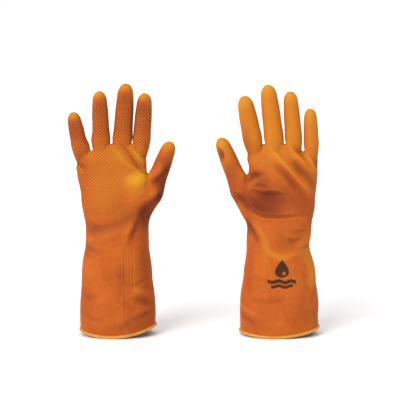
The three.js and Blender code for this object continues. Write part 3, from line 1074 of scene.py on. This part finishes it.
class Tree:
    """The nodes of a material or world, with short calls for making them."""

    def __init__(self, owner, shader="Principled BSDF"):
        self.owner = owner
        owner.use_nodes = True
        self.tree = owner.node_tree
        self.shader = self.tree.nodes[shader]

    def set(self, socket, value):
        if isinstance(value, bpy.types.NodeSocket):
            self.tree.links.new(value, socket)
        else:
            socket.default_value = value

    def node(self, kind, inputs, **settings):
        node = self.tree.nodes.new(kind)
        for name, value in settings.items():
            setattr(node, name, value)
        for key, value in inputs.items():
            self.set(node.inputs[key], value)
        return node

    def math(self, operation, *values):
        node = self.node("ShaderNodeMath", dict(enumerate(values)), operation=operation)
        return node.outputs[0]

    def add(self, *values):
        total = values[0]
        for value in values[1:]:
            total = self.math("ADD", total, value)
        return total

    def minus(self, a, b):
        return self.math("SUBTRACT", a, b)

    def times(self, a, b):
        return self.math("MULTIPLY", a, b)

    def surface(self, values):
        for name, value in values.items():
            self.set(self.shader.inputs[name], value)

    def step(self, low, high, value):
        """0 below low and 1 above high, with a smooth way between."""
        inputs = {"Value": value, "From Min": low, "From Max": high}
        return self.node("ShaderNodeMapRange", inputs, interpolation_type="SMOOTHSTEP").outputs[0]

    def beyond(self, value, rate):
        """0 for a value of 0 or less, nearing 1 as the value grows."""
        fall = self.times(self.math("MAXIMUM", value, 0.0), -rate)
        return self.minus(1.0, self.math("EXPONENT", fall))

    def attribute(self, name, output="Fac"):
        return self.node("ShaderNodeAttribute", {}, attribute_name=name).outputs[output]

    def noise(self, place, scale, detail):
        inputs = {"Vector": place, "Scale": scale, "Detail": detail}
        return self.node("ShaderNodeTexNoise", inputs).outputs["Fac"]

    def cloud(self, place, name):
        scale, detail, low, high = CLOUDS[name]
        return self.step(low, high, self.noise(place, scale, detail))

    def mix(self, factor, a, b):
        node = self.node("ShaderNodeMix", {}, data_type="RGBA")
        for name, value in (("Factor", factor), ("A", a), ("B", b)):
            sockets = [s for s in node.inputs if s.name == name and s.enabled]
            self.set(sockets[0], value)
        return [s for s in node.outputs if s.enabled][0]

    def layer(self, colour, amount, name):
        share, top = LAYERS[name]
        return self.mix(self.times(amount, share), colour, top)

    def bump(self, height, distance):
        inputs = {"Height": height, "Distance": distance, "Strength": 1.0}
        return self.node("ShaderNodeBump", inputs).outputs["Normal"]


def grip_pattern(tree):
    """The raised net, from 0 in the pits to 1 along the lines."""
    grid = tree.node("ShaderNodeSeparateXYZ", {"Vector": tree.attribute("grid", "Vector")}).outputs
    both = (tree.add(grid[0], grid[1]), tree.minus(grid[0], grid[1]))
    lines = [tree.math("ABSOLUTE", tree.math("SINE", tree.times(way, NET_TURN))) for way in both]
    return tree.step(*NET_EDGE, tree.math("MINIMUM", *lines))


def soft_bar(tree, half_width, edge, off):
    """1 within a half width of a line and 0 beyond, with a soft edge."""
    return tree.step(half_width + edge, half_width - edge, off)


def printed_mark(tree, u, v, h):
    """A plain water drop over two waves, on the back of the cuff."""
    x, y = tree.minus(u, MARK["u"]), tree.minus(h, MARK["h"])
    up = tree.math("DIVIDE", tree.minus(y, MARK["drop_foot"]), MARK["drop_height"])
    up = tree.math("MAXIMUM", tree.math("MINIMUM", up, 1.0), 0.0)
    below, above = MARK["drop_powers"]
    width = tree.times(tree.math("POWER", up, below), tree.math("POWER", tree.minus(1.0, up), above))
    side = tree.math("ABSOLUTE", x)
    drop = tree.step(0.0, MARK["edge"], tree.minus(tree.times(width, MARK["drop_width"]), side))
    shine_left, shine_up, shine_radius = MARK["shine"]
    shine_x, shine_y = tree.add(x, shine_left), tree.minus(y, shine_up)
    gap = tree.math("SQRT", tree.add(tree.times(shine_x, shine_x), tree.times(shine_y, shine_y)))
    mark = tree.times(drop, tree.minus(1.0, soft_bar(tree, shine_radius, 0.3, gap)))
    wave = tree.times(tree.math("SINE", tree.times(x, MARK["wave_turn"])), MARK["wave_height"])
    for level, half_length, half_width in MARK["waves"]:
        off = tree.math("ABSOLUTE", tree.minus(tree.minus(y, level), wave))
        bar = tree.times(soft_bar(tree, half_width, 0.25, off), soft_bar(tree, half_length, 0.4, side))
        mark = tree.math("MAXIMUM", mark, bar)
    return tree.times(mark, tree.step(*MARK["back_side"], v))


def film_colour(tree, place, cloud, v, h):
    """The film without its grip and print: cloudy, with painted shade in the hollows and painted highlights
    on the ridges, the brightest places, the upper back and the stall ends.
    """
    colour = tree.mix(tree.cloud(place, "patches"), RUBBER["deep"], RUBBER["plain"])
    colour = tree.layer(colour, cloud, "cloud")
    colour = tree.layer(colour, tree.cloud(place, "speck"), "speck")
    # Painted highlight on the upper back
    upper_back_highlight = tree.times(tree.step(*UPPER_BACK_HIGHLIGHT["h"], h), tree.step(*UPPER_BACK_HIGHLIGHT["v"], v))
    colour = tree.layer(colour, upper_back_highlight, "upper_back_highlight")
    # Painted shade in the hollows, and painted highlights on the ridges and the brightest places
    tone = tree.attribute("tone")
    hollow = tree.beyond(tree.times(tone, -1.0), TONE["hollow"])
    painted_highlight = tree.beyond(tree.minus(tone, TONE["painted_highlight_from"]), TONE["painted_highlight"])
    colour = tree.mix(painted_highlight, tree.mix(hollow, colour, RUBBER["hollow"]), RUBBER["painted_highlight"])
    colour = tree.layer(colour, tree.step(*TONE["strong_painted_highlight"], tone), "strong_painted_highlight")
    # Painted highlight on the stall ends
    return tree.layer(colour, tree.attribute("tip"), "tip")


def make_rubber():
    tree = Tree(bpy.data.materials.new("orange_latex"))
    place = tree.attribute("rest", "Vector")
    u, v, h = tree.node("ShaderNodeSeparateXYZ", {"Vector": place}).outputs
    cloud = tree.cloud(place, "cloud")
    grip = tree.attribute("grip")
    lines = tree.times(grip, grip_pattern(tree))
    colour = film_colour(tree, place, cloud, v, h)
    # Painted shade in the grip's pits and a painted highlight on its raised lines
    colour = tree.layer(colour, tree.minus(grip, lines), "pit_painted_shade")
    colour = tree.layer(colour, lines, "lines")
    cover = tree.math("MULTIPLY_ADD", tree.cloud(place, "worn_ink"), *MARK["cover"])
    ink = tree.times(printed_mark(tree, u, v, h), cover)
    rough = tree.math("MULTIPLY_ADD", cloud, ROUGHNESS["cloud"], ROUGHNESS["plain"])
    relief = tree.add(
        tree.times(tree.noise(place, 2.2, 3.0), RELIEF["grain"]),
        tree.times(tree.noise(place, 0.5, 2.0), RELIEF["skin"]),
        tree.times(lines, RELIEF["lines"]),
    )
    tree.surface({
        "Base Color": tree.mix(ink, colour, RUBBER["ink"]),
        "Roughness": tree.math("MULTIPLY_ADD", lines, ROUGHNESS["lines"], rough),
        "Normal": tree.bump(relief, BUMP),
        "Specular IOR Level": 0.1,
        "Subsurface Weight": 0.1,
        "Subsurface Radius": (1.0, 0.35, 0.1),
        "Subsurface Scale": 1.5 * MM,
    })
    return tree.owner


def make_rolled_rim():
    tree = Tree(bpy.data.materials.new("rolled_latex"))
    place = tree.attribute("rest", "Vector")
    cloud = tree.cloud(place, "rim")
    fine, coarse = tree.noise(place, 1.2, 3.0), tree.noise(place, 0.25, 2.0)
    tree.surface({
        "Base Color": tree.mix(cloud, RUBBER["rim_deep"], RUBBER["rim"]),
        "Roughness": tree.math("MULTIPLY_ADD", cloud, 0.1, 0.36),
        "Normal": tree.bump(tree.add(tree.times(fine, 0.4), tree.times(coarse, 0.6)), BUMP),
        "Specular IOR Level": 0.45,
    })
    return tree.owner


def make_flock():
    tree = Tree(bpy.data.materials.new("cotton_flock"))
    place = tree.attribute("rest", "Vector")
    colour = tree.mix(tree.cloud(place, "tufts"), FLOCK["shade"], FLOCK["light"])
    colour = tree.mix(tree.times(tree.cloud(place, "clumps"), 0.4), colour, FLOCK["warm"])
    relief = tree.add(tree.noise(place, 1.6, 5.0), tree.noise(place, 0.3, 3.0))
    tree.surface({
        "Base Color": colour,
        "Roughness": 0.95,
        "Sheen Weight": 0.35,
        "Sheen Roughness": 0.6,
        "Normal": tree.bump(relief, 0.4 * MM),
    })
    return tree.owner


# Studio

def put(obj, place, aim):
    """Puts a camera or light in its place, turned to what it aims at."""
    obj.location = place
    obj.rotation_mode = "QUATERNION"
    obj.rotation_quaternion = (aim - place).to_track_quat("-Z", "Y")


def make_camera(aim):
    data = bpy.data.cameras.new("camera")
    data.lens = LENS
    camera = new_object("camera", data)
    tilt = math.radians(CAMERA_ELEVATION)
    put(camera, aim + Vector((0, -math.cos(tilt), math.sin(tilt))) * CAMERA_DISTANCE, aim)
    bpy.context.scene.camera = camera


def make_world():
    """A sky that is white at the horizon and dimmer above."""
    world = bpy.data.worlds.new("studio")
    bpy.context.scene.world = world
    tree = Tree(world, "Background")
    way = tree.node("ShaderNodeTexCoord", {}).outputs["Generated"]
    height = tree.node("ShaderNodeSeparateXYZ", {"Vector": way}).outputs["Z"]
    dimming = tree.times(tree.step(*HORIZON_BAND, height), 1.0 - WORLD_STRENGTH)
    tree.surface({"Color": (1, 1, 1, 1), "Strength": tree.minus(1.0, dimming)})
    bpy.context.scene.view_settings.view_transform = "Standard"


def make_lights(aim):
    for name, (strength, angle, direction) in LIGHTS.items():
        light = bpy.data.lights.new(name, "SUN")
        light.energy = strength
        light.angle = math.radians(angle)
        put(new_object(name, light), aim + Vector(direction), aim)


def make_floor():
    """A wide pale floor that runs to the horizon."""
    mesh = bpy.data.meshes.new("floor")
    bm = bmesh.new()
    bmesh.ops.create_circle(bm, cap_ends=True, segments=96, radius=FLOOR_RADIUS)
    bm.to_mesh(mesh)
    bm.free()
    floor = new_object("floor", mesh)
    tree = Tree(bpy.data.materials.new("pale_floor"))
    place = tree.node("ShaderNodeNewGeometry", {}).outputs["Position"]
    colour = tree.mix(tree.cloud(place, "floor"), FLOOR["shade"], FLOOR["light"])
    tree.surface({"Base Color": colour, "Roughness": 0.9, "Specular IOR Level": 0.0})
    mesh.materials.append(tree.owner)


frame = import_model()

materials = {"rubber": make_rubber(), "rolled_rim": make_rolled_rim(), "flock_lining": make_flock()}
for glove_name in BODIES:
    make_glove(Glove(glove_name, frame, materials))

aim = Vector((CAMERA_AIM_X, 0, CAMERA_AIM_HEIGHT))
make_camera(aim)
make_world()
make_lights(aim)
make_floor()
